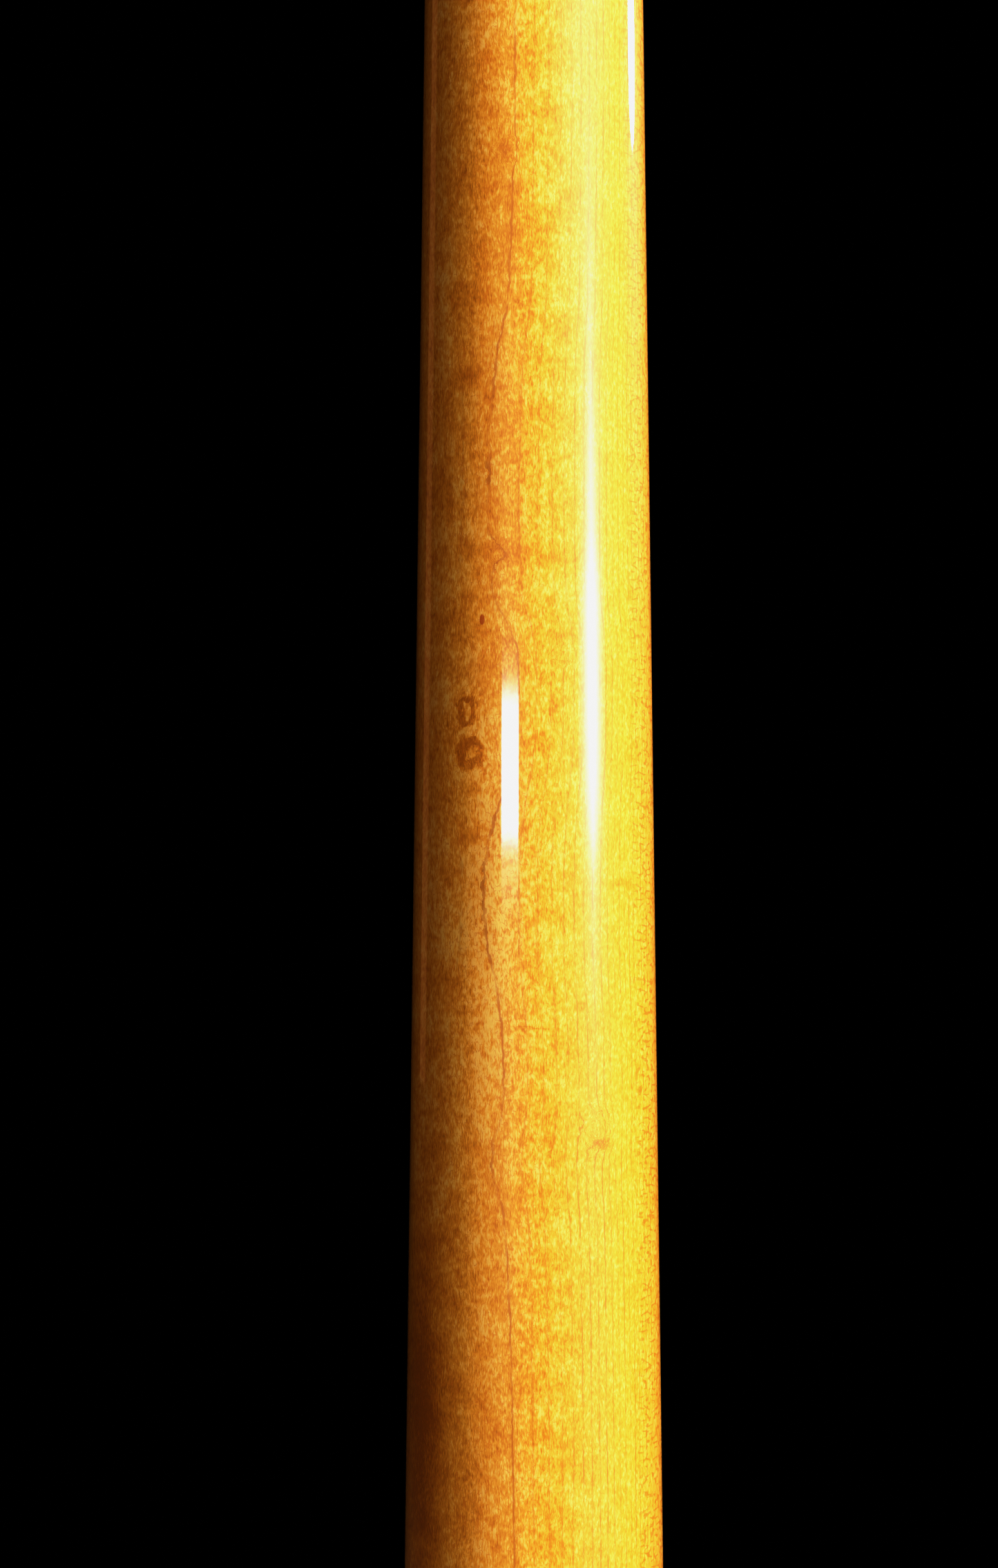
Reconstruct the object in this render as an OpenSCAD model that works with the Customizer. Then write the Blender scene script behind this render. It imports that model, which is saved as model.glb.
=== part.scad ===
// Didgeridoo with a turned maple body, split and hollowed, and a pull-out mouthpiece.
// Millimetres. +Z runs up the bore. The origin is on the floor, at the centre of the bell face.

/* [Overall] */
// Length from the bell face to the top of the lip rim
overall_length = 1400; // [1100:10:1700]
// Growth of the outside diameter in each metre of length
outer_taper = 25.5; // [16:0.5:36]

/* [Bore] */
// Diameter of the straight throat through the mouthpiece
throat_diameter = 28; // [24:0.5:34]
// Thickness of the maple wall at the bell end
bell_wall = 8.5; // [7:0.5:12]

/* [Bell] */
// Height of the flare above the bell face
flare_height = 300; // [180:10:420]
// Extra diameter that the flare adds at the bell face
flare_spread = 20; // [6:1:40]
// Height of the hardwood ring round the bell end
bell_ring_height = 26; // [20:1:40]
// Depth of the hardwood under the end grain of the maple
bell_ring_floor = 6; // [4:0.5:9]
// Thickness of the brass accent ring above the hardwood ring
accent_thickness = 2; // [1:0.25:4]
// Wall of the maple tenon inside the bell ring
bell_tenon_wall = 4.2; // [3:0.2:5]

/* [Mouth socket] */
// Depth of the mouthpiece tenon in the socket
tenon_length = 38; // [30:1:50]
// Wall of the tenon round the throat
tenon_wall = 3.4; // [3:0.1:5]
// Wall of the brass sleeve that lines the socket
sleeve_wall = 0.8; // [0.5:0.1:1.5]
// Thickness of the sleeve's flange over the end grain
flange_thickness = 1.2; // [0.8:0.1:2]
// Wall of the maple between the sleeve and the ferrule
spigot_wall = 3.1; // [2.5:0.1:5]
// Wall of the brass ferrule
ferrule_wall = 1.6; // [1.2:0.1:2.5]
// Height of the brass ferrule
ferrule_height = 24; // [16:1:36]

/* [Mouthpiece] */
// Height of the mouthpiece above the ferrule
mouthpiece_height = 36; // [30:1:48]
// Width of the rounded lip rim, from throat to outside
lip_width = 7.5; // [6:0.5:10]
// Height of the straight collar that seats on the ferrule
collar_height = 5; // [4:0.5:7]

/* [Seals and dowels] */
// Cord diameter of the two rubber O-rings
o_ring_cord = 2; // [1.6:0.1:2.4]
// Depth of the groove that holds an O-ring
groove_depth = 1.6; // [1.2:0.1:1.9]
// Number of alignment dowels along each seam
dowels_per_seam = 5; // [3:1:8]
// Diameter of an alignment dowel
dowel_diameter = 3; // [2:0.5:4]
// Length of an alignment dowel
dowel_length = 11; // [8:0.5:13]

/* [Hidden] */
$fn = 96;

// Clearances
slip_gap = 0.1;       // tenon in its sleeve, on the radius
seal_gap = 0.03;      // seated O-ring to sleeve and to groove floor, on the radius
tenon_end_gap = 0.5;  // tenon's end to the floor of the socket
dowel_end_gap = 0.5;  // dowel's end to the floor of its hole
groove_side_gap = 0.25;

// Small edges
reveal = 0.3;         // brass standing proud of the maple, on the radius
ring_proud = 0.8;     // bell ring standing proud of the maple, on the radius
edge_round = 3;       // bell ring's outer foot
bore_round = 1.5;     // bell ring's inner foot
lead_chamfer = 1;     // tenon's end
v_groove = 0.6;       // depth and half width of a turned line
line_inset = 3;       // ferrule's two lines, from its ends
flare_power = 2.2;
flare_steps = 16;
arc_steps = 12;

// Radii from the throat outwards, at the mouth
throat_r = throat_diameter / 2;
tenon_r = throat_r + tenon_wall;
sleeve_in_r = tenon_r + slip_gap;
sleeve_out_r = sleeve_in_r + sleeve_wall;
spigot_r = sleeve_out_r + spigot_wall;
ferrule_r = spigot_r + ferrule_wall;
maple_mouth_r = ferrule_r - reveal;
groove_r = tenon_r - groove_depth;
lip_r = throat_r + lip_width;

// Heights, from the bell face
seat_z = overall_length - mouthpiece_height;
maple_top_z = seat_z - flange_thickness;
ferrule_low_z = seat_z - ferrule_height;
tenon_low_z = seat_z - tenon_length;
socket_low_z = tenon_low_z - tenon_end_gap;
accent_top_z = bell_ring_height + accent_thickness;

// Cone, flare and bore of the maple, as radii at a height
cone_r = function(z) maple_mouth_r + (ferrule_low_z - z) * outer_taper / 2000;
flare_r = function(z) z >= flare_height ? 0
    : flare_spread / 2 * pow((flare_height - z) / flare_height, flare_power);
outer_r = function(z) cone_r(z) + flare_r(z);
bore_end_r = cone_r(0) - bell_wall;
bore_r = function(z) throat_r + (bore_end_r - throat_r) * (socket_low_z - z) / socket_low_z + flare_r(z);
bell_tenon_r = bore_r(bell_ring_floor) + bell_tenon_wall;

// Points [radius, z] along one of the curves above, from a low height up to a high one
function flare_heights(low, high) =
    concat([low], [for (i = [1:flare_steps]) let (z = flare_height * i / flare_steps)
        if (z > low + 1 && z < high - 1) z], [high]);
function outline(radius_at, low, high) = [for (z = flare_heights(low, high)) [radius_at(z), z]];
function reversed(points) = [for (i = [len(points) - 1:-1:0]) points[i]];
function arc(centre, radius, from, to) = [for (i = [0:arc_steps])
    let (a = from + (to - from) * i / arc_steps) centre + radius * [cos(a), sin(a)]];
// A cubic from a towards d, without d itself
function bezier(a, b, c, d) = [for (i = [0:arc_steps - 1]) let (t = i / arc_steps, u = 1 - t)
    u * u * u * a + 3 * u * u * t * b + 3 * u * t * t * c + t * t * t * d];
// A V-shaped line turned in the cylinder of the ferrule and the collar
function turned_line(z) = [[ferrule_r, z - v_groove], [ferrule_r - v_groove, z], [ferrule_r, z + v_groove]];

// ---------- maple body ----------

// Wall of the body: tenon for the bell ring, cone, spigot for the ferrule, socket, bore
body_section = concat(
    [[bell_tenon_r, bell_ring_floor], [bell_tenon_r, accent_top_z]],
    outline(outer_r, accent_top_z, ferrule_low_z),
    [[spigot_r, ferrule_low_z], [spigot_r, maple_top_z],
     [sleeve_out_r, maple_top_z], [sleeve_out_r, socket_low_z]],
    reversed(outline(bore_r, bell_ring_floor, socket_low_z))
);

// Dowels stand across the seam, in the middle of the wall
dowel_low_z = accent_top_z + 3 * dowel_length;
dowel_high_z = socket_low_z - 2 * dowel_length;
dowel_places = [for (i = [0:dowels_per_seam - 1], side = [-1, 1])
    let (z = dowel_low_z + (dowel_high_z - dowel_low_z) * i / (dowels_per_seam - 1))
    [side * (outer_r(z) + bore_r(z)) / 2, 0, z]];

module across_seam(length) {
    for (place = dowel_places)
        translate(place) rotate([90, 0, 0]) cylinder(d = dowel_diameter, h = length, center = true);
}

// Half of the body, on one side of the plane y = 0
module half_shell(turn) {
    color("#d98a2b") difference() {
        rotate([0, 0, turn]) rotate_extrude(angle = 180) polygon(body_section);
        across_seam(dowel_length + 2 * dowel_end_gap);
    }
}

module body_front_half() { half_shell(180); }
module body_back_half() { half_shell(0); }
module seam_dowels() { color("#e3c088") across_seam(dowel_length); }

// ---------- brass at the mouth ----------

module socket_sleeve() {
    color("#c9a24a") rotate_extrude() polygon([
        [sleeve_in_r, socket_low_z], [sleeve_out_r, socket_low_z], [sleeve_out_r, maple_top_z],
        [spigot_r, maple_top_z], [spigot_r, seat_z], [sleeve_in_r, seat_z]
    ]);
}

module mouth_ferrule() {
    color("#c9a24a") rotate_extrude() polygon(concat(
        [[spigot_r, ferrule_low_z], [ferrule_r, ferrule_low_z]],
        turned_line(ferrule_low_z + line_inset),
        turned_line(seat_z - line_inset),
        [[ferrule_r, seat_z], [spigot_r, seat_z]]
    ));
}

// ---------- rings at the bell ----------

module bell_accent_ring() {
    color("#c9a24a") rotate_extrude() polygon([
        [bell_tenon_r, bell_ring_height], [outer_r(bell_ring_height) + reveal, bell_ring_height],
        [outer_r(accent_top_z) + reveal, accent_top_z], [bell_tenon_r, accent_top_z]
    ]);
}

// The ring covers the end grain, and its floor carries the bore down to the bell face
module bell_ring() {
    top_round = 1;
    side_r = function(z) outer_r(z) + ring_proud;
    color("#6b2f1c") rotate_extrude() polygon(concat(
        arc([side_r(edge_round) - edge_round, edge_round], edge_round, -90, 0),
        outline(side_r, edge_round, bell_ring_height - top_round),
        [[side_r(bell_ring_height) - top_round, bell_ring_height],
         [bell_tenon_r, bell_ring_height], [bell_tenon_r, bell_ring_floor],
         [bore_r(bell_ring_floor), bell_ring_floor]],
        arc([bore_r(bore_round) + bore_round, bore_round], bore_round, -180, -90)
    ));
}

// ---------- mouthpiece ----------

o_ring_width = sleeve_in_r - groove_r - 2 * seal_gap;
o_ring_height = o_ring_width + PI * (pow(o_ring_cord, 2) - pow(o_ring_width, 2)) / 4 / o_ring_width;
groove_half = o_ring_height / 2 + groove_side_gap;
lower_groove_z = tenon_low_z + tenon_length / 4;
upper_groove_z = seat_z - tenon_length / 4;

function groove(z) = [[tenon_r, z - groove_half], [groove_r, z - groove_half],
    [groove_r, z + groove_half], [tenon_r, z + groove_half]];

module mouthpiece() {
    rim_r = lip_width / 2;
    rim_z = overall_length - rim_r;
    collar_z = seat_z + collar_height;
    waist_pull = (rim_z - collar_z) / 2;
    collar_step = 1;
    color("#6b2f1c") rotate_extrude() polygon(concat(
        [[throat_r, tenon_low_z], [tenon_r - lead_chamfer, tenon_low_z],
         [tenon_r, tenon_low_z + lead_chamfer]],
        groove(lower_groove_z),
        groove(upper_groove_z),
        [[tenon_r, seat_z], [ferrule_r, seat_z]],
        turned_line(seat_z + collar_height / 2),
        [[ferrule_r, collar_z]],
        bezier([ferrule_r - collar_step, collar_z], [throat_r + rim_r, collar_z + waist_pull / 2],
               [throat_r + rim_r, rim_z - waist_pull], [lip_r, rim_z]),
        arc([throat_r + rim_r, rim_z], rim_r, 0, 180)
    ));
}

// A seated O-ring, squeezed between the groove and the sleeve
module o_ring(z) {
    color("#1c1c1c") rotate_extrude() translate([groove_r + seal_gap + o_ring_width / 2, z]) {
        flat = o_ring_height - o_ring_width;
        square([o_ring_width, flat], center = true);
        for (side = [-1, 1]) translate([0, side * flat / 2]) circle(d = o_ring_width);
    }
}

module lower_o_ring() { o_ring(lower_groove_z); }
module upper_o_ring() { o_ring(upper_groove_z); }

body_front_half();
body_back_half();
seam_dowels();
socket_sleeve();
mouth_ferrule();
bell_accent_ring();
bell_ring();
mouthpiece();
lower_o_ring();
upper_o_ring();
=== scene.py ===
import math
from collections import namedtuple

import bmesh
import bpy
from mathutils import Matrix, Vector
from mathutils.geometry import tessellate_polygon


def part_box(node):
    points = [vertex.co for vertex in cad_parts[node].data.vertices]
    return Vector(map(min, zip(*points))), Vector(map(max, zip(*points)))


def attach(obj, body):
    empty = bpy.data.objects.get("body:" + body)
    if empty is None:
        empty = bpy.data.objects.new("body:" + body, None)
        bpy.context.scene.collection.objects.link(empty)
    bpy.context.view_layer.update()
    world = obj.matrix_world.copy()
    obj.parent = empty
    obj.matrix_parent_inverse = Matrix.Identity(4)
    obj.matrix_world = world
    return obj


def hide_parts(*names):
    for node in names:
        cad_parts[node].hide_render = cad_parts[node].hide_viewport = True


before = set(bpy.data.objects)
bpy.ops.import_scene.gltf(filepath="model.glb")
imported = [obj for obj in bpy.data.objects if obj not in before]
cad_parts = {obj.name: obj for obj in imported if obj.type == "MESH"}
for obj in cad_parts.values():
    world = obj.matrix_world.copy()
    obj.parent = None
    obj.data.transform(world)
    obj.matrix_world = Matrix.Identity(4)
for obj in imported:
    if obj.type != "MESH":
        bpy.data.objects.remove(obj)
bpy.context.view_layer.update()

MM = 0.001


# ---------- measures taken from the frame ----------

def reach(node):
    """Smallest and largest distance of a CAD node from the bore's axis."""
    radii = [math.hypot(v.co.x, v.co.y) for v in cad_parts[node].data.vertices]
    return min(radii), max(radii)


def span(node):
    """Lowest and highest height of a CAD node."""
    low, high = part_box(node)
    return low.z, high.z


TENON_Z, TOP_Z = span("mouthpiece")
FERRULE_LOW_Z, SEAT_Z = span("mouth_ferrule")
SOCKET_Z = span("socket_sleeve")[0]
MAPLE_LOW_Z, MAPLE_TOP_Z = span("body_front_half")
ACCENT_LOW_Z, ACCENT_TOP_Z = span("bell_accent_ring")
THROAT_R, COLLAR_R = reach("mouthpiece")
SPIGOT_R, FERRULE_R = reach("mouth_ferrule")
SLEEVE_R = reach("socket_sleeve")[0]
BELL_TENON_R = reach("bell_accent_ring")[0]

# The cone, the flare and the walls, as the CAD model has them
TAPER = 0.0255
FLARE_HEIGHT = 0.3
FLARE_SPREAD = 0.02
FLARE_POWER = 2.2
BELL_WALL = 0.0085
SLEEVE_WALL = 0.8 * MM
REVEAL = 0.3 * MM
RING_PROUD = 0.8 * MM
MAPLE_MOUTH_R = FERRULE_R - REVEAL


def cone_r(z):
    return MAPLE_MOUTH_R + (FERRULE_LOW_Z - z) * TAPER / 2


def flare_r(z):
    share = max(0.0, (FLARE_HEIGHT - z) / FLARE_HEIGHT)
    return FLARE_SPREAD / 2 * share ** FLARE_POWER


def outer_r(z):
    return cone_r(z) + flare_r(z)


def bore_r(z):
    widening = cone_r(0) - BELL_WALL - THROAT_R
    return THROAT_R + widening * (SOCKET_Z - z) / SOCKET_Z + flare_r(z)


# ---------- camera ----------

EYE_Z = 1.081          # height of the middle of the stretch that the photograph shows
EYE_DISTANCE = 0.95
EYE_SIDE = 7.6 * MM    # the tube stands this far to the right of the picture's middle


def make_camera():
    data = bpy.data.cameras.new("camera")
    data.lens = 100
    data.sensor_width = 36
    camera = bpy.data.objects.new("camera", data)
    camera.location = (-EYE_SIDE, -EYE_DISTANCE, EYE_Z)
    camera.rotation_euler = (math.radians(90), 0, 0)
    bpy.context.scene.collection.objects.link(camera)
    bpy.context.scene.camera = camera


make_camera()


# ---------- node trees ----------

class Graph:
    """A node tree under construction. Most methods add a node and return its output socket."""

    def __init__(self, tree):
        self.tree = tree
        tree.nodes.clear()

    def node(self, kind, inputs=None, **settings):
        made = self.tree.nodes.new("ShaderNode" + kind)
        for name, value in settings.items():
            setattr(made, name, value)
        for key, value in (inputs or {}).items():
            self.feed(made.inputs[key], value)
        return made

    def feed(self, socket, value):
        if isinstance(value, bpy.types.NodeSocket):
            self.tree.links.new(value, socket)
        else:
            socket.default_value = value

    def math(self, operation, a, b=0.0, c=0.0, clamp=False):
        return self.node("Math", {0: a, 1: b, 2: c}, operation=operation, use_clamp=clamp).outputs[0]

    def add(self, *terms):
        total = terms[0]
        for term in terms[1:]:
            total = self.math("ADD", total, term)
        return total

    def times(self, a, b):
        return self.math("MULTIPLY", a, b)

    def minus(self, a, b):
        return self.math("SUBTRACT", a, b)

    def vector(self, operation, a, b=(0, 0, 0)):
        return self.node("VectorMath", {0: a, 1: b}, operation=operation)

    def dot(self, a, b):
        return self.vector("DOT_PRODUCT", a, b).outputs["Value"]

    def join(self, x, y, z):
        return self.node("CombineXYZ", {0: x, 1: y, 2: z}).outputs[0]

    def split(self, place):
        return self.node("SeparateXYZ", {0: place}).outputs

    def place(self):
        """The point on the object in its own frame, in millimetres."""
        coordinates = self.node("TexCoord").outputs["Object"]
        scaled = self.node("VectorMath", {0: coordinates, "Scale": 1 / MM}, operation="SCALE")
        return scaled.outputs[0]

    def noise(self, place, detail=2.0, roughness=0.5, distortion=0.0):
        inputs = {"Vector": place, "Scale": 1.0, "Detail": detail, "Roughness": roughness,
                  "Distortion": distortion}
        return self.node("TexNoise", inputs).outputs[0]

    def cells(self, place, feature="F1"):
        return self.node("TexVoronoi", {"Vector": place, "Scale": 1.0}, feature=feature)

    def chance(self, number):
        return self.node("TexWhiteNoise", {"W": number}, noise_dimensions="1D").outputs["Value"]

    def ease(self, value, low, high, start=0.0, end=1.0):
        """Goes smoothly from start to end as value goes from low to high."""
        inputs = {0: value, 1: low, 2: high, 3: start, 4: end}
        return self.node("MapRange", inputs, interpolation_type="SMOOTHSTEP").outputs[0]

    def mix(self, share, a, b):
        a, b = [tuple(c) + (1.0,) if isinstance(c, tuple) else c for c in (a, b)]
        return self.node("Mix", {0: share, 6: a, 7: b}, data_type="RGBA").outputs[2]

    def ramp(self, value, stops):
        made = self.node("ValToRGB", {0: value})
        elements = made.color_ramp.elements
        while len(elements) < len(stops):
            elements.new(0.5)
        for element, (position, colour) in zip(elements, stops):
            element.position = position
            element.color = tuple(colour) + (1.0,)
        return made.outputs[0]

    def curve(self, value, points):
        made = self.node("FloatCurve", {1: value})
        line = made.mapping.curves[0]
        while len(line.points) < len(points):
            line.points.new(0.5, 0.5)
        for point, at in zip(line.points, points):
            point.location = at
        made.mapping.update()
        return made.outputs[0]

    def bump(self, height, distance, normal=None):
        inputs = {"Height": height, "Distance": distance, "Strength": 1.0}
        if normal is not None:
            inputs["Normal"] = normal
        return self.node("Bump", inputs).outputs[0]

    def surface(self, **inputs):
        """A Principled shader on the output. Underscores in the names stand for spaces."""
        named = {key.replace("_", " "): value for key, value in inputs.items()}
        shader = self.node("BsdfPrincipled", named)
        output = self.node("OutputMaterial")
        self.tree.links.new(shader.outputs[0], output.inputs[0])


def new_material(name):
    material = bpy.data.materials.new(name)
    material.use_nodes = True
    return material, Graph(material.node_tree)


# ---------- maple ----------

RING_AXIS = math.radians(-30)    # the side of the tube that faces the bark, as an azimuth
PITH_DEPTH = 150                 # mm from the bore's axis to the middle of the tree
RING_WIDTH = 1.5                 # mm of wood grown in a year
KERF = 2.6                       # mm lost to the saw between the halves

# The strongest growth line wanders up the front: (height in m, azimuth in degrees)
GROWTH_LINE = [
    (0.000, -12), (0.180, -17), (0.360, -10), (0.520, -18), (0.680, -9), (0.800, -14),
    (0.870, -8), (0.928, -9), (0.955, -10), (0.991, -14), (1.003, -19), (1.012, -14),
    (1.036, -17), (1.053, -24), (1.075, -17), (1.105, -8), (1.116, -13), (1.123, -20),
    (1.150, -23), (1.172, -20), (1.184, -13), (1.209, -11), (1.250, -10), (1.340, -13),
]

# Curls in the grain, each with a dark rim:
# (height in m, azimuth in degrees, half width and half height in mm, lift of the rings in mm, rim)
CURLS = [
    (1.0965, -34, 2.3, 3.0, 0.8, 0.75),
    (1.0875, -32, 3.1, 3.0, 1.0, 0.80),
    (1.1300, -18, 2.8, 2.2, 0.9, 0.15),
    (1.2160, -15, 2.2, 2.6, 1.2, 0.0),
    (1.0075, 31, 3.6, 4.2, 2.6, 0.0),
    (1.1080, 14, 3.0, 2.0, 0.8, 0.0),
    (0.4400, 25, 3.0, 5.0, 1.6, 0.6),
    (0.7300, 150, 3.0, 4.0, 1.8, 0.8),
    (0.5600, -95, 3.5, 5.0, 1.5, 0.6),
    (0.2500, 190, 3.0, 6.0, 1.4, 0.7),
]

# Dark marks in the wood, and one band of painted shade: (height in m, azimuth in degrees, half width and
# half height in mm, darkness)
MARKS_AND_PAINTED_SHADE = [
    (1.2160, -15, 1.6, 2.0, 0.45),
    (1.1960, -14, 9.0, 3.5, 0.22),
    (1.1850, -30, 6.0, 3.0, 0.25),
    (1.1680, -36, 3.6, 3.0, 0.50),
    (1.1310, -23, 8.0, 1.5, 0.42),
    (1.1290, 6, 5.0, 2.4, 0.22),
    (1.1130, 14, 2.8, 0.7, 0.30),
    (1.1070, 14, 1.8, 0.5, 0.32),
    (1.0995, 9, 0.6, 2.6, 0.35),
    (1.0942, 9, 0.5, 1.5, 0.35),
    (1.0805, -31, 2.2, 1.2, 0.40),
    (1.0695, -32, 2.2, 1.4, 0.40),
    (1.0580, -23, 1.0, 2.6, 0.35),
    (1.0597, 47, 5.0, 0.9, 0.45),
    (1.0340, 22, 1.2, 0.9, 0.50),
    (1.0300, -15, 1.2, 0.7, 0.40),
    (1.0290, -4, 5.0, 0.3, 0.45),
    (1.0045, 31, 2.4, 1.1, 0.85),
    (1.0034, 7, 0.3, 2.4, 0.60),
    (1.0550, -22, 7.0, 24.0, -0.40),
    (1.0200, -24, 6.0, 16.0, -0.25),
    # Painted shade: a tall dark band along the left side near the bottom, where the tube turns away from
    # the key light
    (0.9450, -62, 8.0, 36.0, 0.85),
]

# One pin knot: (height in m, azimuth in degrees, half width and half height in mm)
PIN_KNOT = (1.1160, -26, 0.60, 1.15)


def surface_point(height, azimuth):
    """The point on the outside at this height and azimuth, in mm."""
    angle, radius = math.radians(azimuth), outer_r(height) / MM
    return radius * math.sin(angle), -radius * math.cos(angle), height / MM


def blob(g, place, height, azimuth, wide, tall):
    """1 at a spot on the outside, and fading smoothly to 0 round it."""
    away = g.vector("SUBTRACT", place, surface_point(height, azimuth)).outputs[0]
    scaled = g.vector("DIVIDE", away, (wide, wide, tall)).outputs[0]
    return g.math("EXPONENT", g.times(g.dot(scaled, scaled), -1.0))


def ragged_place(g, place):
    """The place, shifted a little to and fro, so that what is drawn there has ragged edges."""
    inputs = {"Vector": place, "Scale": 0.55, "Detail": 2.0}
    shift = g.vector("SUBTRACT", g.node("TexNoise", inputs).outputs["Color"], (0.5, 0.5, 0.5))
    long_shift = g.vector("MULTIPLY", shift.outputs[0], (3.2, 3.2, 4.5))
    return g.vector("ADD", place, long_shift.outputs[0]).outputs[0]


def curls(g, place):
    """How far the curls lift the growth rings here, in mm, and how dark their rims are."""
    lift, rim = 0.0, 0.0
    for height, azimuth, wide, tall, height_of_lift, darkness in CURLS:
        spot = blob(g, place, height, azimuth, wide, tall)
        lift = g.math("MULTIPLY_ADD", spot, height_of_lift, lift)
        if darkness:
            edge = g.times(spot, g.math("SUBTRACT", 1.0, spot))
            rim = g.math("MULTIPLY_ADD", g.ease(edge, 0.12, 0.24), darkness, rim)
    return lift, rim


def marks_and_painted_shade(g, place):
    """How dark the marks and the painted shade are here."""
    total = 0.0
    for height, azimuth, wide, tall, darkness in MARKS_AND_PAINTED_SHADE:
        total = g.math("MULTIPLY_ADD", blob(g, place, height, azimuth, wide, tall), darkness, total)
    return total


Spot = namedtuple("Spot", "whole place y height radial tangential away slope")


def find_spot(g):
    """A point on the object (whole), and the same point in the log it was cut from (place).

    Radial and tangential are its distances from the bore's axis towards the bark and across, in mm.
    Slope is how steeply the surface cuts the growth rings there, from 0 to 1.
    """
    whole = g.place()
    x, y, height = g.split(whole)
    # The saw took its kerf between the halves, so the back half lies that much further into the log
    log_y = g.math("MULTIPLY_ADD", g.math("GREATER_THAN", y, 0.0), KERF, y)
    place = g.join(x, log_y, height)
    radial = g.dot(place, (math.sin(RING_AXIS), -math.cos(RING_AXIS), 0))
    tangential = g.dot(place, (math.cos(RING_AXIS), math.sin(RING_AXIS), 0))
    away = g.math("SQRT", g.add(g.times(radial, radial), g.times(tangential, tangential)))
    slope = g.math("ABSOLUTE", g.math("DIVIDE", tangential, away))
    return Spot(whole, place, y, height, radial, tangential, away, slope)


def ring_depth(g, spot, lift):
    """Depth through the growth rings, in mm, which is 0 on the strongest line."""
    share = g.math("DIVIDE", spot.height, TOP_Z / MM)
    # The curve holds azimuths from -45 to 45 degrees as 0 to 1
    points = [(z / TOP_Z, 0.5 + azimuth / 90) for z, azimuth in GROWTH_LINE]
    curved = g.curve(share, points)
    angle = g.math("MULTIPLY_ADD", curved, math.radians(90), -math.radians(45) - RING_AXIS)
    radius = g.math("MULTIPLY_ADD", spot.height, -TAPER / 2, cone_r(0) / MM)
    line_radial = g.times(radius, g.math("COSINE", angle))
    line_tangential = g.times(radius, g.math("SINE", angle))
    bend = g.minus(g.times(spot.tangential, spot.tangential), g.times(line_tangential, line_tangential))
    depth = g.math("MULTIPLY_ADD", bend, 0.5 / PITH_DEPTH, g.minus(spot.radial, line_radial))
    slow = g.noise(g.vector("DIVIDE", spot.place, (11, 11, 38)).outputs[0], detail=1)
    fine = g.noise(g.vector("DIVIDE", spot.place, (1.6, 1.6, 2.6)).outputs[0], detail=3)
    warp = g.add(g.times(slow, 0.40), g.times(fine, 0.30), -0.35)
    return g.add(depth, warp, lift)


def growth_lines(g, spot, depth):
    """How dark the growth lines are here, from 0 to 1."""
    turns = g.math("MULTIPLY_ADD", depth, 1 / RING_WIDTH, 0.5)
    ring = g.math("FLOOR", turns)
    off_line = g.times(g.math("ABSOLUTE", g.minus(g.math("FRACT", turns), 0.5)), RING_WIDTH)
    width = g.math("MULTIPLY_ADD", spot.slope, 0.18, 0.04)
    thin = g.ease(off_line, 0.03, width, 1.0, 0.0)
    soft = g.ease(off_line, 0.0, 0.50, 0.22, 0.0)
    own_weight = g.ease(g.chance(ring), 0.10, 0.8, 0.55, 1.0)
    weight = g.times(own_weight, g.ease(spot.slope, 0.05, 0.35, 0.35, 1.0))
    strongest = g.math("COMPARE", ring, 0.0, 0.25)
    weight = g.math("MAXIMUM", weight, strongest)
    # Each ring comes out on both sides of the ring axis, and its line is faint on one of them
    weight = g.times(weight, g.ease(spot.tangential, -6.0, 2.0, 0.15, 1.0))
    broken = g.noise(g.vector("DIVIDE", spot.place, (3.0, 3.0, 9.0)).outputs[0], detail=1)
    weight = g.times(weight, g.ease(broken, 0.30, 0.62, 0.35, 1.0))
    return g.math("MULTIPLY", g.math("MAXIMUM", thin, soft), weight, clamp=True)


def lean_of_fibres(g, spot, lift):
    """How far the fibres lean to and fro, in mm. They bend round the curls."""
    lean = g.noise(g.vector("DIVIDE", spot.place, (9, 9, 16)).outputs[0], detail=1)
    return g.add(g.times(lean, 4.0), g.times(lift, 1.3))


def fibres_and_threads(g, spot, lean):
    """The fine fibres, and where a thin dark thread runs between them."""
    place = g.join(g.add(spot.tangential, lean), g.add(spot.radial, lean), spot.height)
    fibre = g.noise(g.vector("DIVIDE", place, (0.28, 0.45, 1.15)).outputs[0], detail=1.0)
    weave = g.noise(g.vector("DIVIDE", place, (0.80, 0.66, 1.9)).outputs[0], detail=1.0)
    gaps = g.noise(g.vector("DIVIDE", place, (1.1, 1.1, 1.0)).outputs[0], detail=0.0)
    thread = g.ease(g.math("ABSOLUTE", g.minus(weave, 0.5)), 0.0, 0.05, 1.0, 0.0)
    return fibre, g.times(thread, g.ease(gaps, 0.35, 0.52))


def dashes(g, spot, lean):
    """Short dark dashes, where the surface cuts steeply through the rings."""
    slanted = g.add(spot.radial, lean, g.times(spot.height, 0.25))
    place = g.vector("DIVIDE", g.join(spot.tangential, slanted, spot.height), (0.42, 0.42, 1.3))
    dash = g.ease(g.noise(place.outputs[0], detail=0.0), 0.50, 0.62)
    return g.times(dash, g.ease(spot.slope, 0.40, 0.85, 0.1, 1.0))


def rays(g, spot):
    """Rays: thin plates that run outwards from the pith, and show only where the surface follows them."""
    spread = g.times(spot.tangential, g.math("DIVIDE", PITH_DEPTH, g.add(spot.radial, PITH_DEPTH)))
    along = g.ease(g.math("ABSOLUTE", g.math("DIVIDE", spread, spot.away)), 0.94, 1.0)
    place = g.vector("DIVIDE", g.join(spread, spot.radial, spot.height), (3.0, 3.6, 1.5)).outputs[0]
    off_edge = g.cells(place, feature="DISTANCE_TO_EDGE").outputs["Distance"]
    broken = g.noise(g.vector("DIVIDE", spot.place, (1.8, 1.8, 0.9)).outputs[0], detail=0.0)
    ray = g.times(g.ease(off_edge, 0.04, 0.18, 1.0, 0.0), g.ease(broken, 0.44, 0.60))
    return g.times(ray, along)


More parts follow.
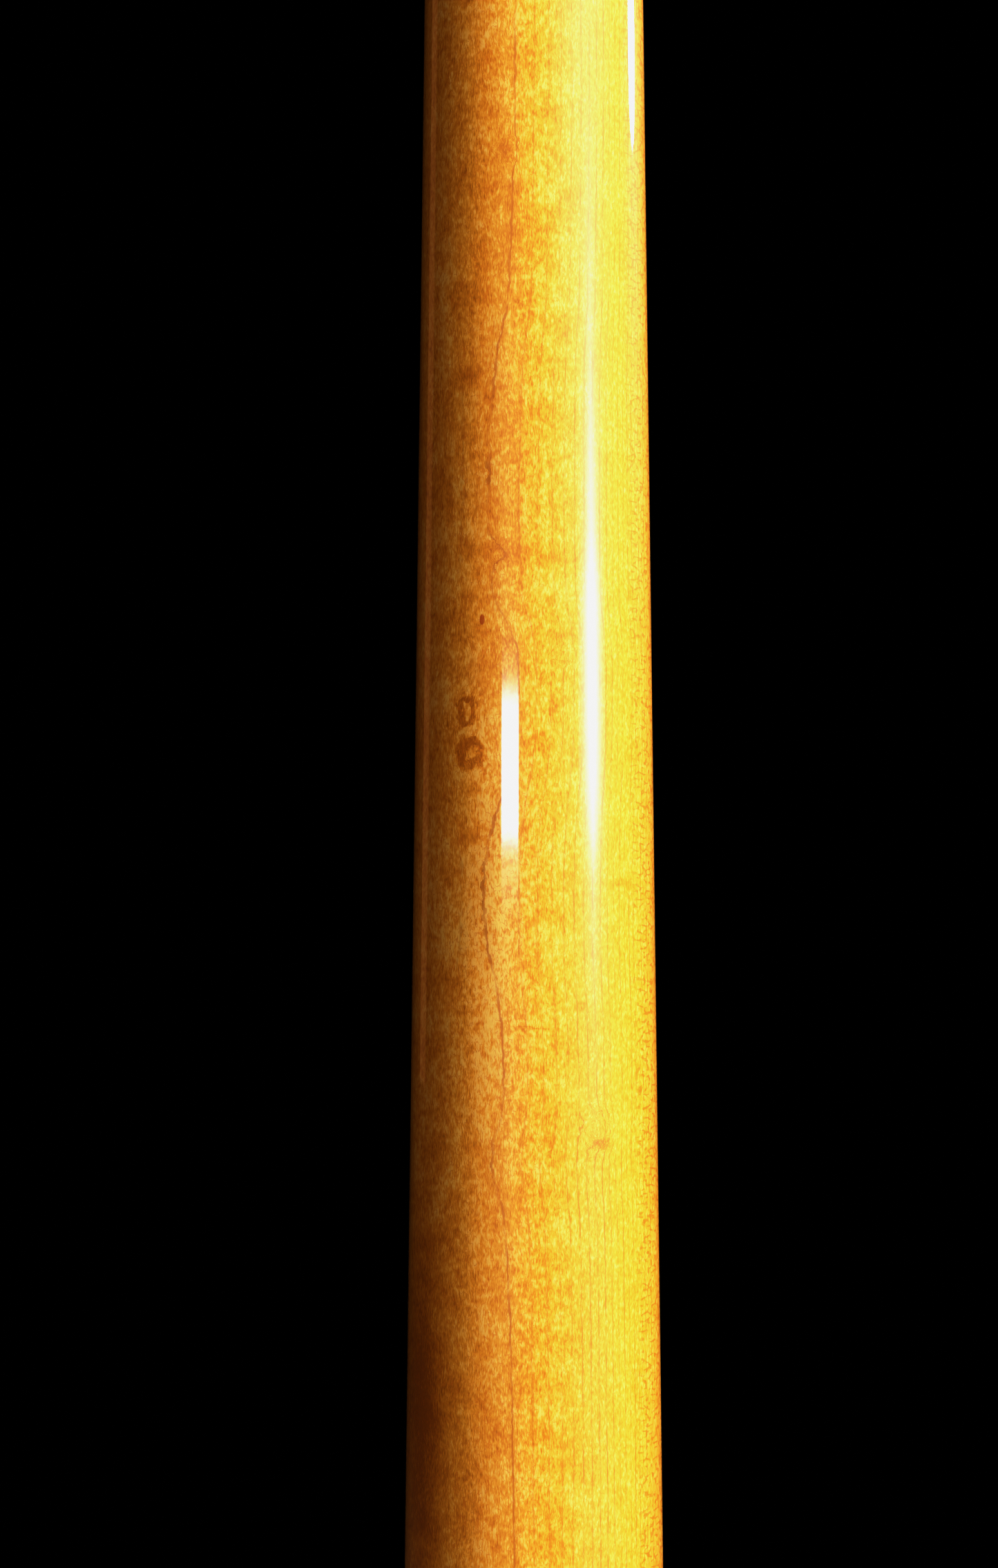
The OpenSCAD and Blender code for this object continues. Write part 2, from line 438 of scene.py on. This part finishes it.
def tone_and_painted_shade_of(g, spot, clouds, fibre, dark_spots_and_painted_shade):
    """Tone of the wood, with the painted shade in it, from 0 for orange to 1 for gold.

    Clouds and ragged bands across the grain are strongest on the sides that face the bark and the
    pith, and faint on the sides between them.
    """
    strength = g.ease(spot.slope, 0.55, 0.99, 1.0, 0.35)
    bands = g.noise(g.vector("DIVIDE", spot.place, (26, 26, 7.0)).outputs[0], detail=2)
    mottle = g.noise(g.vector("DIVIDE", spot.place, (1.3, 1.3, 1.8)).outputs[0], detail=2)
    dark = g.times(dark_spots_and_painted_shade, g.ease(mottle, 0.30, 0.55, 0.45, 1.0))
    patches = g.add(g.times(clouds, 0.75), g.times(bands, 0.38), g.times(mottle, 0.85), -0.99)
    return g.add(g.times(patches, strength), fibre, g.times(dark, -0.75), 0.04)


def maple():
    """Amber figured maple under gloss lacquer, cut from one solid block in the shader."""
    material, g = new_material("maple")
    spot = find_spot(g)
    ragged = ragged_place(g, spot.whole)
    lift, rim = curls(g, ragged)
    lines = growth_lines(g, spot, ring_depth(g, spot, lift))
    lean = lean_of_fibres(g, spot, lift)
    fibre, thread = fibres_and_threads(g, spot, lean)
    clouds = g.noise(g.vector("DIVIDE", spot.place, (6.5, 6.5, 7.5)).outputs[0], detail=3, roughness=0.6)
    # The dark marks that go into the tone include one band of painted shade on the left side
    tone_and_painted_shade = tone_and_painted_shade_of(g, spot, clouds, fibre, g.add(rim, marks_and_painted_shade(g, ragged)))
    knot = g.ease(blob(g, spot.whole, *PIN_KNOT), 0.25, 0.50)
    seam = g.ease(g.math("ABSOLUTE", spot.y), 0.03, 0.10, 1.0, 0.0)

    colour = g.ramp(tone_and_painted_shade, [
        (0.05, (0.46, 0.130, 0.007)), (0.35, (0.70, 0.240, 0.016)),
        (0.58, (0.86, 0.350, 0.031)), (0.85, (0.97, 0.530, 0.105)),
    ])
    for share, strength, darker in [
        (thread, 0.62, (0.66, 0.170, 0.009)),
        (dashes(g, spot, lean), 0.42, (0.70, 0.230, 0.011)),
        (rays(g, spot), 0.75, (0.56, 0.130, 0.007)),
        (lines, 0.80, (0.44, 0.125, 0.011)),
        (knot, 0.90, (0.47, 0.080, 0.005)),
        (seam, 0.55, (0.30, 0.070, 0.008)),
    ]:
        colour = g.mix(g.times(share, strength), colour, darker)

    relief = g.add(g.times(clouds, 0.13 * MM), g.times(fibre, 0.030 * MM))
    lacquer = g.noise(g.vector("DIVIDE", spot.place, (0.55, 0.55, 1.1)).outputs[0], detail=2)
    g.surface(Base_Color=colour, Roughness=0.42, Specular_IOR_Level=0.3, Normal=g.bump(relief, 1.0),
              Coat_Weight=1.0, Coat_Roughness=0.035, Coat_IOR=1.52,
              Coat_Normal=g.bump(g.times(lacquer, 0.0010 * MM), 1.0))
    return material


def bare_maple():
    """The oiled, unlacquered wall of the bore."""
    material, g = new_material("maple_bore")
    place = g.place()
    grain = g.noise(g.vector("DIVIDE", place, (0.6, 0.6, 9)).outputs[0], detail=3)
    clouds = g.noise(g.vector("DIVIDE", place, (12, 12, 30)).outputs[0], detail=2)
    tone = g.add(g.times(grain, 0.6), g.times(clouds, 0.5), -0.05)
    colour = g.ramp(tone, [(0.25, (0.20, 0.075, 0.022)), (0.7, (0.46, 0.22, 0.075))])
    g.surface(Base_Color=colour, Roughness=0.55, Normal=g.bump(g.times(grain, 0.06 * MM), 1.0))
    return material


# ---------- other materials ----------

def jarrah():
    """Deep red-brown hardwood, oiled and buffed."""
    material, g = new_material("jarrah")
    place = g.place()
    wave = g.noise(g.vector("DIVIDE", place, (22, 22, 60)).outputs[0], detail=1)
    x, y, z = g.split(place)
    across = g.math("MULTIPLY_ADD", wave, 9.0, g.add(x, g.times(y, 0.45)))
    stripe = g.noise(g.join(g.times(across, 0.42), g.times(y, 0.05), g.times(z, 0.012)), detail=3)
    fine = g.noise(g.join(g.times(across, 3.2), g.times(y, 2.4), g.times(z, 0.11)), detail=2)
    tone = g.add(g.times(stripe, 0.8), g.times(fine, 0.35), -0.08)
    colour = g.ramp(tone, [
        (0.28, (0.050, 0.010, 0.004)), (0.5, (0.150, 0.036, 0.015)), (0.75, (0.290, 0.085, 0.034)),
    ])
    pores = g.cells(g.join(g.times(x, 1.5), g.times(y, 1.5), g.times(z, 0.20)))
    pore = g.ease(pores.outputs["Distance"], 0.10, 0.24, 1.0, 0.0)
    colour = g.mix(g.times(pore, 0.75), colour, (0.020, 0.005, 0.003))
    relief = g.add(g.times(pore, -0.05 * MM), g.times(fine, 0.012 * MM))
    g.surface(Base_Color=colour, Roughness=0.33, Specular_IOR_Level=0.5,
              Normal=g.bump(relief, 1.0), Coat_Weight=0.5, Coat_Roughness=0.16)
    return material


def brass():
    """Turned brass: fine rings from the lathe, and a little tarnish."""
    material, g = new_material("brass")
    place = g.place()
    x, y, z = g.split(place)
    stain = g.noise(g.vector("DIVIDE", place, (9, 9, 6)).outputs[0], detail=4, roughness=0.6)
    radius = g.math("SQRT", g.add(g.times(x, x), g.times(y, y)))
    turned = g.noise(g.join(0.0, radius, g.times(z, 7.0)), detail=3)
    scuff = g.noise(g.vector("DIVIDE", place, (0.7, 0.7, 0.25)).outputs[0], detail=2)
    colour = g.ramp(stain, [
        (0.30, (0.50, 0.29, 0.085)), (0.5, (0.78, 0.52, 0.19)), (0.75, (0.90, 0.66, 0.30)),
    ])
    roughness = g.add(g.ease(stain, 0.35, 0.7, 0.30, 0.16), g.times(scuff, 0.10))
    g.surface(Base_Color=colour, Metallic=1.0, Roughness=roughness,
              Normal=g.bump(g.times(turned, 0.006 * MM), 1.0))
    return material


def rubber():
    material, g = new_material("rubber")
    grain = g.noise(g.vector("DIVIDE", g.place(), (0.3, 0.3, 0.3)).outputs[0], detail=2)
    colour = g.ramp(grain, [(0.3, (0.012, 0.012, 0.013)), (0.7, (0.028, 0.028, 0.030))])
    g.surface(Base_Color=colour, Roughness=0.48, Normal=g.bump(g.times(grain, 0.01 * MM), 1.0))
    return material


def beech():
    material, g = new_material("beech")
    place = g.place()
    fleck = g.noise(g.vector("DIVIDE", place, (0.4, 3.0, 0.4)).outputs[0], detail=3)
    colour = g.ramp(fleck, [(0.3, (0.42, 0.24, 0.12)), (0.7, (0.68, 0.46, 0.27))])
    g.surface(Base_Color=colour, Roughness=0.6, Normal=g.bump(g.times(fleck, 0.03 * MM), 1.0))
    return material


def pale_floor():
    material, g = new_material("pale_floor")
    place = g.place()
    grain = g.noise(g.vector("DIVIDE", place, (60, 60, 60)).outputs[0], detail=4)
    colour = g.ramp(grain, [(0.3, (0.50, 0.49, 0.475)), (0.7, (0.53, 0.52, 0.505))])
    g.surface(Base_Color=colour, Roughness=0.7)
    return material


MAPLE, MAPLE_BORE = maple(), bare_maple()
JARRAH, BRASS, RUBBER, BEECH = jarrah(), brass(), rubber(), beech()


# ---------- turned pieces ----------

def corner(before, at, after, radius, steps=5):
    """Points of the fillet that rounds a corner of an outline."""
    a, p, b = Vector(before), Vector(at), Vector(after)
    to_a, to_b = (a - p).normalized(), (b - p).normalized()
    half = to_a.angle(to_b) / 2
    run = min(radius / math.tan(half), 0.49 * (a - p).length, 0.49 * (b - p).length)
    radius = run * math.tan(half)
    centre = p + (to_a + to_b).normalized() * radius / math.sin(half)
    start, end = p + to_a * run - centre, p + to_b * run - centre
    turn = start.angle_signed(end)
    from_angle = math.atan2(start.y, start.x)
    return [
        (centre.x + radius * math.cos(from_angle - turn * i / steps),
         centre.y + radius * math.sin(from_angle - turn * i / steps))
        for i in range(steps + 1)
    ]


def rounded(points):
    """An outline whose points may carry a fillet radius: (r, z) or (r, z, fillet)."""
    outline = []
    for i, point in enumerate(points):
        if len(point) == 2:
            outline.append(point)
        else:
            before, after = points[i - 1], points[(i + 1) % len(points)]
            outline += corner(before[:2], point[:2], after[:2], point[2])
    return outline


def arc(centre, radius, start, end, steps=16):
    """Points (r, z) of an arc, with its angles in degrees."""
    angles = [math.radians(start + (end - start) * i / steps) for i in range(steps + 1)]
    return [(centre[0] + radius * math.cos(a), centre[1] + radius * math.sin(a)) for a in angles]


def lathe(name, outline, body, node, materials, start=0.0, sweep=360.0, steps=160):
    """Turns a closed outline of (r, z) about the bore's axis and puts it in place of a CAD node."""
    mesh = bmesh.new()
    closed = sweep == 360.0
    columns = steps if closed else steps + 1
    rings = []
    for i in range(columns):
        angle = math.radians(start + sweep * i / steps)
        rings.append([mesh.verts.new((r * math.cos(angle), r * math.sin(angle), z)) for r, z in outline])
    count = len(outline)
    for i in range(steps):
        here, there = rings[i], rings[(i + 1) % columns]
        for k in range(count):
            after = (k + 1) % count
            mesh.faces.new((here[k], there[k], there[after], here[after]))
    if not closed:
        # The flat faces where the sweep starts and ends, in triangles because the section isn't convex
        section = [Vector((r, z, 0)) for r, z in outline]
        for triangle in tessellate_polygon([section]):
            for ring in (rings[0], rings[-1]):
                mesh.faces.new([ring[k] for k in triangle])
    bmesh.ops.recalc_face_normals(mesh, faces=mesh.faces)
    for edge in mesh.edges:
        edge.smooth = len(edge.link_faces) == 2 and edge.calc_face_angle() < math.radians(32)
    for face in mesh.faces:
        face.smooth = True
    data = bpy.data.meshes.new(name)
    mesh.to_mesh(data)
    mesh.free()
    for material in materials:
        data.materials.append(material)
    piece = bpy.data.objects.new(name, data)
    bpy.context.scene.collection.objects.link(piece)
    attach(piece, body)
    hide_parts(node)
    return piece


def heights(low, high, count):
    return [low + (high - low) * i / count for i in range(count + 1)]


# ---------- maple halves ----------

BODY_ROWS = 64
STRIPS = 4                            # strips of the outside in the map

# Shares of the map's width: the outside, then the bore, then the seams and ends
OUTSIDE_SHARE = 0.94
BORE_SHARE = 0.03
ENDS_START = OUTSIDE_SHARE + 0.042
ENDS_SHARE = 0.014
MAP_GAP = 0.004                       # left empty between them
WIDEST_R = 50 * MM                    # no maple is further from the axis


def body_outline():
    """Section of the maple wall, from the bell tenon up the outside, over the end and down the bore."""
    edge = 0.25 * MM
    outside = [(outer_r(z), z) for z in heights(ACCENT_TOP_Z, FERRULE_LOW_Z, BODY_ROWS)]
    bore = [(bore_r(z), z) for z in heights(MAPLE_LOW_Z, SOCKET_Z, BODY_ROWS // 2)]
    sleeve_out_r = SLEEVE_R + SLEEVE_WALL
    top = [(SPIGOT_R, FERRULE_LOW_Z), (SPIGOT_R, MAPLE_TOP_Z),
           (sleeve_out_r, MAPLE_TOP_Z), (sleeve_out_r, SOCKET_Z)]
    foot = [(BELL_TENON_R, MAPLE_LOW_Z), (BELL_TENON_R, ACCENT_TOP_Z)]
    outside[0] = outside[0] + (edge,)
    outside[-1] = outside[-1] + (edge,)
    return rounded(foot + outside + top + list(reversed(bore)))


def lay_out_strips(piece):
    """Unrolls the outside into strips side by side, and the rest of the faces into what is left."""
    data = piece.data
    # A map of its own, laid out for baking
    layer = data.uv_layers.new(name="OFBake")
    length = (FERRULE_LOW_Z - ACCENT_TOP_Z) / STRIPS
    width = OUTSIDE_SHARE / STRIPS
    for face in data.polygons:
        centre = face.center
        is_outside = face.normal.dot(Vector((centre.x, centre.y, 0)).normalized()) > 0.5 \
            and math.hypot(centre.x, centre.y) > outer_r(centre.z) - 0.6 * MM
        is_bore = not is_outside and face.material_index == 1
        strip = min(STRIPS - 1, max(0, int((centre.z - ACCENT_TOP_Z) / length)))
        for corner_index, vertex_index in zip(face.loop_indices, face.vertices):
            at = data.vertices[vertex_index].co
            # The corner's azimuth, within half a turn of the face's own, so that no face wraps round
            turn = (math.atan2(at.y, at.x) - math.atan2(centre.y, centre.x) + math.pi) % (2 * math.pi)
            turn += math.atan2(centre.y, centre.x) - math.pi
            share = abs(turn) / math.pi
            if is_outside:
                u = strip * width + MAP_GAP + share * (width - 2 * MAP_GAP)
                up = (at.z - ACCENT_TOP_Z - strip * length) / length
            elif is_bore:
                u = OUTSIDE_SHARE + MAP_GAP + share * BORE_SHARE
                up = at.z / TOP_Z
            else:
                # This suits the flat seams. The turned steps and ends have no width in the map
                u = ENDS_START + math.hypot(at.x, at.y) / WIDEST_R * ENDS_SHARE
                up = at.z / TOP_Z
            layer.uv[corner_index].vector = (u, MAP_GAP + (1 - 2 * MAP_GAP) * up)


def make_maple_half(name, node, start):
    piece = lathe(name, body_outline(), "instrument", node, [MAPLE, MAPLE_BORE],
                  start=start, sweep=180.0, steps=96)
    for face in piece.data.polygons:
        centre = face.center
        inward = face.normal.dot(Vector((centre.x, centre.y, 0)).normalized()) < -0.5
        face.material_index = 1 if inward else 0
    lay_out_strips(piece)
    return piece


make_maple_half("maple_front_half", "body_front_half", 180.0)
make_maple_half("maple_back_half", "body_back_half", 0.0)
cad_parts["seam_dowels"].data.materials.clear()
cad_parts["seam_dowels"].data.materials.append(BEECH)


# ---------- brass ----------

LINE_DEPTH = 0.6 * MM


def turned_line(z):
    """Three points of a V-shaped line in the ferrule's cylinder."""
    ease = 0.15 * MM
    return [(FERRULE_R, z - LINE_DEPTH, ease), (FERRULE_R - LINE_DEPTH, z, ease),
            (FERRULE_R, z + LINE_DEPTH, ease)]


def make_ferrule():
    edge, inset = 0.35 * MM, 3 * MM
    points = [(SPIGOT_R, FERRULE_LOW_Z), (FERRULE_R, FERRULE_LOW_Z, edge)]
    points += turned_line(FERRULE_LOW_Z + inset) + turned_line(SEAT_Z - inset)
    points += [(FERRULE_R, SEAT_Z, edge), (SPIGOT_R, SEAT_Z)]
    lathe("brass_ferrule", rounded(points), "instrument", "mouth_ferrule", [BRASS])


def make_sleeve():
    edge = 0.2 * MM
    outer = SLEEVE_R + SLEEVE_WALL
    points = [(SLEEVE_R, SOCKET_Z), (outer, SOCKET_Z), (outer, MAPLE_TOP_Z),
              (SPIGOT_R, MAPLE_TOP_Z), (SPIGOT_R, SEAT_Z), (SLEEVE_R, SEAT_Z, edge)]
    lathe("brass_sleeve", rounded(points), "instrument", "socket_sleeve", [BRASS])


def make_accent_ring():
    edge = 0.4 * MM
    points = [(BELL_TENON_R, ACCENT_LOW_Z), (outer_r(ACCENT_LOW_Z) + REVEAL, ACCENT_LOW_Z, edge),
              (outer_r(ACCENT_TOP_Z) + REVEAL, ACCENT_TOP_Z, edge), (BELL_TENON_R, ACCENT_TOP_Z)]
    lathe("brass_accent_ring", rounded(points), "instrument", "bell_accent_ring", [BRASS],
          steps=224)


make_ferrule()
make_sleeve()
make_accent_ring()


# ---------- hardwood and rubber ----------

COLLAR_HEIGHT = 5 * MM
LIP_WIDTH = 7.5 * MM
GROOVE_DEPTH = 1.6 * MM
GROOVE_MARGIN = 0.25 * MM
TENON_CLEARANCE = 0.1 * MM
TENON_R = SLEEVE_R - TENON_CLEARANCE
TENON_CHAMFER = 1 * MM


def make_bell_ring():
    foot, top, bore_foot = 3 * MM, 1 * MM, 1.5 * MM
    outside = [(outer_r(z) + RING_PROUD, z) for z in heights(foot, ACCENT_LOW_Z - top, 6)]
    centre_r = outer_r(foot) + RING_PROUD - foot
    bore_centre_r = bore_r(bore_foot) + bore_foot
    points = arc((centre_r, foot), foot, -90, 0)[:-1] + outside
    points += [(outer_r(ACCENT_LOW_Z) + RING_PROUD - top, ACCENT_LOW_Z),
               (BELL_TENON_R, ACCENT_LOW_Z), (BELL_TENON_R, MAPLE_LOW_Z),
               (bore_r(MAPLE_LOW_Z), MAPLE_LOW_Z)]
    points += arc((bore_centre_r, bore_foot), bore_foot, -180, -90)
    lathe("jarrah_bell_ring", rounded(points), "instrument", "bell_ring", [JARRAH], steps=224)


def groove(node):
    """Four points of the groove that holds an O-ring."""
    low, high = span(node)
    bottom = TENON_R - GROOVE_DEPTH
    low, high = low - GROOVE_MARGIN, high + GROOVE_MARGIN
    ease = 0.12 * MM
    return [(TENON_R, low, ease), (bottom, low), (bottom, high), (TENON_R, high, ease)]


def curve_points(a, b, c, d, steps=20):
    """A cubic from a to d, without d itself."""
    points = []
    for i in range(steps):
        t = i / steps
        u = 1 - t
        weights = (u ** 3, 3 * u * u * t, 3 * u * t * t, t ** 3)
        points.append(tuple(sum(w * p[k] for w, p in zip(weights, (a, b, c, d))) for k in (0, 1)))
    return points


def make_mouthpiece():
    rim_r = LIP_WIDTH / 2
    rim_z = TOP_Z - rim_r
    collar_z = SEAT_Z + COLLAR_HEIGHT
    handle = (rim_z - collar_z) / 2
    waist_r = THROAT_R + rim_r
    edge = 0.4 * MM
    points = [(THROAT_R, TENON_Z, edge), (TENON_R - TENON_CHAMFER, TENON_Z),
              (TENON_R, TENON_Z + TENON_CHAMFER)]
    points += groove("lower_o_ring") + groove("upper_o_ring")
    points += [(TENON_R, SEAT_Z), (COLLAR_R, SEAT_Z, edge)]
    points += turned_line(SEAT_Z + COLLAR_HEIGHT / 2)
    points += [(COLLAR_R, collar_z, edge)]
    points += curve_points((COLLAR_R - MM, collar_z), (waist_r, collar_z + handle / 2),
                           (waist_r, rim_z - handle), (THROAT_R + LIP_WIDTH, rim_z))
    points += arc((waist_r, rim_z), rim_r, 0, 180, steps=36)
    lathe("jarrah_mouthpiece", rounded(points), "mouthpiece", "mouthpiece", [JARRAH])


def make_o_ring(name, node):
    low, high = span(node)
    inner, outer = reach(node)
    radius = (outer - inner) / 2
    middle = inner + radius
    points = arc((middle, low + radius), radius, -180, 0, steps=12)
    points += arc((middle, high - radius), radius, 0, 180, steps=12)
    lathe(name, points, "mouthpiece", node, [RUBBER])


make_bell_ring()
make_mouthpiece()
make_o_ring("rubber_o_ring_low", "lower_o_ring")
make_o_ring("rubber_o_ring_high", "upper_o_ring")


# ---------- floor and light ----------

FLOOR_R = 4.8


def make_floor():
    mesh = bmesh.new()
    bmesh.ops.create_circle(mesh, cap_ends=True, radius=FLOOR_R, segments=128)
    data = bpy.data.meshes.new("floor")
    mesh.to_mesh(data)
    mesh.free()
    data.materials.append(pale_floor())
    floor = bpy.data.objects.new("floor", data)
    # The floor sends no soft light back up to the tube, as if the tube stood in black surroundings
    floor.visible_diffuse = False
    bpy.context.scene.collection.objects.link(floor)


make_floor()

LIGHT_DISTANCE = 1.5


def lamp(name, azimuth, height, wide, tall, radiance, colour=(1, 1, 1), distance=LIGHT_DISTANCE,
         shape="RECTANGLE", aim=None, fade=None):
    """An area light round the tube, facing it.

    The azimuth is in degrees from the camera's side, positive to its right, and the height is above the
    camera. Aim is the height it looks at. Fade is its strength across and up, as two ramps.
    """
    data = bpy.data.lights.new(name, "AREA")
    data.shape = shape
    data.size, data.size_y = wide, tall
    data.energy = radiance * math.pi * wide * tall
    data.color = colour
    light = bpy.data.objects.new(name, data)
    angle = math.radians(azimuth)
    light.location = (distance * math.sin(angle), -distance * math.cos(angle), EYE_Z + height)
    target = Vector((0, 0, EYE_Z + (height if aim is None else aim)))
    light.rotation_mode = "QUATERNION"
    light.rotation_quaternion = (target - light.location).to_track_quat("-Z", "Y")
    light.visible_camera = False
    bpy.context.scene.collection.objects.link(light)
    if fade:
        data.use_nodes = True
        g = Graph(data.node_tree)
        across, up, _ = g.split(g.node("TexCoord").outputs["UV"])
        strength = g.times(g.ramp(across, fade[0]), g.ramp(up, fade[1]))
        emission = g.node("Emission", {"Strength": strength})
        output = g.node("OutputLight")
        g.tree.links.new(emission.outputs[0], output.inputs[0])


def grey(*stops):
    return [(position, (value,) * 3) for position, value in stops]


KEY_ACROSS = grey((0.0, 0.03), (0.1, 0.08), (0.2, 0.16), (0.3, 0.32), (0.4, 0.62), (0.5, 1.0),
                  (0.6, 0.62), (0.7, 0.32), (0.8, 0.16), (0.9, 0.08), (1.0, 0.03))
KEY_UP = grey((0.0, 0.0), (0.15, 0.02), (0.27, 0.12), (0.30, 0.27), (0.374, 0.85), (0.42, 1.0),
              (0.526, 1.0), (0.587, 0.42), (0.745, 0.15), (0.926, 0.04), (1.0, 0.0))
SOFT_ENDS = grey((0.0, 0.0), (0.25, 0.8), (0.5, 1.0), (0.75, 0.8), (1.0, 0.0))
FEATHERED = grey((0.0, 0.0), (0.10, 0.20), (0.22, 1.0), (0.78, 1.0), (0.90, 0.20), (1.0, 0.0))
EVEN = grey((0.0, 1.0), (1.0, 1.0))

# The key is the broad streak right of the tube's middle. Most of the light on the wood comes from
# key_high, and key_low adds a little near the bottom
lamp("key", 57.5, 0.118, 0.80, 0.62, 36, fade=(KEY_ACROSS, KEY_UP))
lamp("key_high", 57, 1.08, 1.60, 0.80, 27, aim=0.0)
lamp("key_low", 58, -0.77, 0.60, 0.56, 2.5, aim=0.0)

# The window is the small bright bar left of the middle, and window_haze the faint glow past its ends
lamp("window", -23.1, 0.046, 0.43, 0.108, 40, colour=(1.0, 0.86, 0.80), fade=(EVEN, FEATHERED))
lamp("window_haze", -23.1, 0.040, 0.43, 0.16, 3.4, colour=(1.0, 0.80, 0.84),
     fade=(EVEN, SOFT_ENDS))

# Right_rim is the short streak at the top right, and left_rim the warm glow along the left outline.
# Top_spot is mirrored just above the picture, so it shows only in other views
lamp("right_rim", 122.5, 0.433, 0.36, 0.12, 24, shape="ELLIPSE")
lamp("top_spot", 52, 0.515, 0.22, 0.08, 20, shape="ELLIPSE")
lamp("left_rim", -128, 0.30, 0.32, 0.90, 0.37, colour=(1.0, 0.39, 0.11))

# Soft light from above and behind, which hardly reaches the side that the camera sees
lamp("back", 172, 1.25, 0.9, 0.9, 24, distance=1.9, aim=-0.3)

world = bpy.data.worlds.new("studio")
world.use_nodes = True
world.node_tree.nodes["Background"].inputs["Color"].default_value = (0, 0, 0, 1)
bpy.context.scene.world = world

# Film-like tones: deep shadows and a soft shoulder just under full white
TONES = [(0.0, 0.0), (0.04, 0.022), (0.12, 0.088), (0.30, 0.28), (0.60, 0.66), (1.0, 0.90)]


def set_tones():
    view = bpy.context.scene.view_settings
    view.view_transform = "Standard"
    view.use_curve_mapping = True
    view.curve_mapping.extend = "HORIZONTAL"
    curve = view.curve_mapping.curves[3]
    while len(curve.points) < len(TONES):
        curve.points.new(0.5, 0.5)
    for point, at in zip(curve.points, TONES):
        point.location = at
    view.curve_mapping.update()


set_tones()
